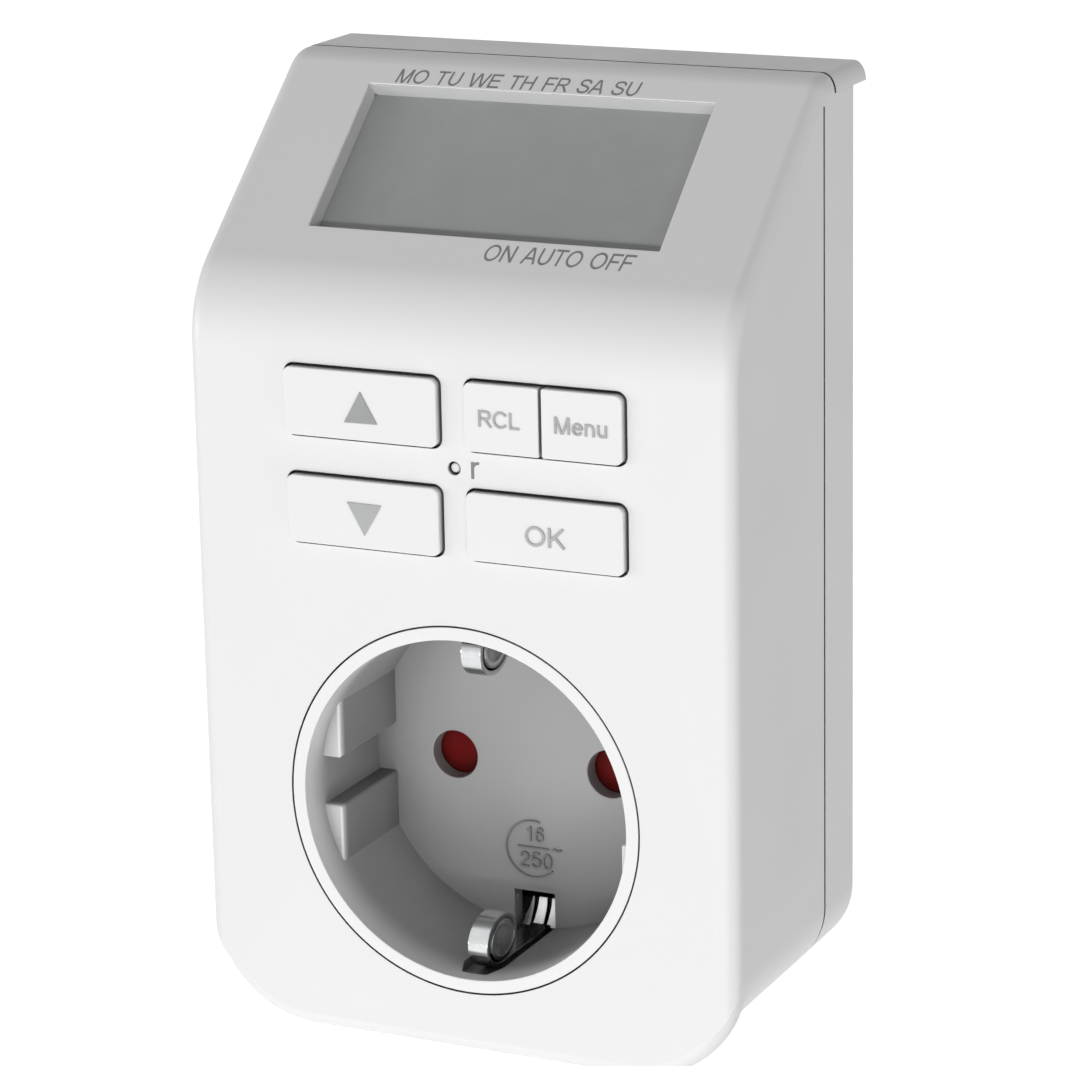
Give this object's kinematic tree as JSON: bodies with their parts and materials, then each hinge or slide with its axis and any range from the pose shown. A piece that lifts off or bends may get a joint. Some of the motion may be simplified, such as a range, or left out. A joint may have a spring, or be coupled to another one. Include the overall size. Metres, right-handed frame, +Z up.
{
  "type": "plug in timer switch",
  "caption": "White plug in timer switch with a two pin earthed socket, a sloping grey display, five keys and a hidden reset button.",
  "frame": {"origin": "midway between the two plug pins, in the plug's end face", "axes": "+Y along the plug pins into the wall, +Z up the housing, +X to the right seen from the front"},
  "size_m": [0.0636, 0.0719, 0.1049],
  "materials": {
    "shell_white": "fine satin",
    "key_white": "satin",
    "insert_white": "satin",
    "window_clear": "clear, slightly smoked",
    "lcd_grey": "grey liquid crystal glass",
    "inner_plastic": "matte",
    "rubber_grey": "matte",
    "board_green": "solder resist",
    "screw_steel": "zinc plated",
    "black_plastic": "matte",
    "can_metal": "satin",
    "link_ribbon": "polyester film",
    "relay_blue": "moulded",
    "film_yellow": "moulded",
    "fuse_glass": "clear",
    "resistor_tan": "lacquered",
    "shutter_red": "matte",
    "spring_steel": "drawn wire",
    "contact_metal": "nickel plated sheet",
    "pin_nickel": "nickel plated",
    "wire_brown": "insulation",
    "wire_blue": "insulation"
  },
  "bodies": {
    "housing": {"front_shell": "shell_white", "rear_shell": "shell_white", "housing_screws": "screw_steel", "display_window": "window_clear", "lcd_panel": "lcd_grey", "lcd_holder": "inner_plastic", "connector_strips": "rubber_grey", "lcd_board": "board_green", "lcd_screws": "screw_steel", "switch_bodies": "black_plastic", "logic_board": "board_green", "logic_screws": "screw_steel", "controller_chip": "black_plastic", "crystal": "can_metal", "backup_battery": "can_metal", "display_link": "link_ribbon", "power_link": "link_ribbon", "power_board": "board_green", "power_screws": "screw_steel", "relay": "relay_blue", "film_capacitor": "film_yellow", "smoothing_capacitor": "can_metal", "rectifier_diodes": "black_plastic", "surge_absorber": "relay_blue", "fuse": "fuse_glass", "dropper_resistor": "resistor_tan", "socket_insert": "insert_white", "socket_screws": "screw_steel", "shutter_spring": "spring_steel", "shutter_cover": "insert_white", "cover_screws": "screw_steel", "earth_bracket": "contact_metal", "bracket_screws": "screw_steel", "plug_earth_contacts": "contact_metal", "line_contact": "contact_metal", "neutral_contact": "contact_metal", "line_pin": "pin_nickel", "neutral_pin": "pin_nickel", "pin_carrier": "inner_plastic", "carrier_screws": "screw_steel", "wire_line": "wire_brown", "wire_switched": "wire_brown", "wire_neutral": "wire_blue", "wire_supply": "wire_blue"},
    "up_key": {"key_up": "key_white", "button_up": "black_plastic"},
    "down_key": {"key_down": "key_white", "button_down": "black_plastic"},
    "recall_key": {"key_recall": "key_white", "button_recall": "black_plastic"},
    "menu_key": {"key_menu": "key_white", "button_menu": "black_plastic"},
    "ok_key": {"key_ok": "key_white", "button_ok": "black_plastic"},
    "reset_pin": {"reset_plunger": "key_white", "button_reset": "black_plastic"},
    "shutter": {"safety_shutter": "shutter_red"}
  },
  "joints": [
    {"name": "press_up", "type": "slide", "parent": "housing", "child": "up_key", "axis": [0, 1, 0], "range_m": [0, 0.0005], "stiffness_N_per_m": 1600, "springref_m": -0.0002},
    {"name": "press_down", "type": "slide", "parent": "housing", "child": "down_key", "axis": [0, 1, 0], "range_m": [0, 0.0005], "stiffness_N_per_m": 1600, "springref_m": -0.0002},
    {"name": "press_recall", "type": "slide", "parent": "housing", "child": "recall_key", "axis": [0, 1, 0], "range_m": [0, 0.0005], "stiffness_N_per_m": 1600, "springref_m": -0.0002},
    {"name": "press_menu", "type": "slide", "parent": "housing", "child": "menu_key", "axis": [0, 1, 0], "range_m": [0, 0.0005], "stiffness_N_per_m": 1600, "springref_m": -0.0002},
    {"name": "press_ok", "type": "slide", "parent": "housing", "child": "ok_key", "axis": [0, 1, 0], "range_m": [0, 0.0005], "stiffness_N_per_m": 1600, "springref_m": -0.0002},
    {"name": "press_reset", "type": "slide", "parent": "housing", "child": "reset_pin", "axis": [0, 1, 0], "range_m": [0, 0.0005], "stiffness_N_per_m": 1600, "springref_m": -0.0002},
    {"name": "shutter_turn", "type": "hinge", "parent": "housing", "child": "shutter", "pos_m": [0, -0.032, 0], "axis": [0, 1, 0], "range_deg": [0, 40], "stiffness_Nm_per_rad": 0.003, "springref_deg": -20.05}
  ]
}
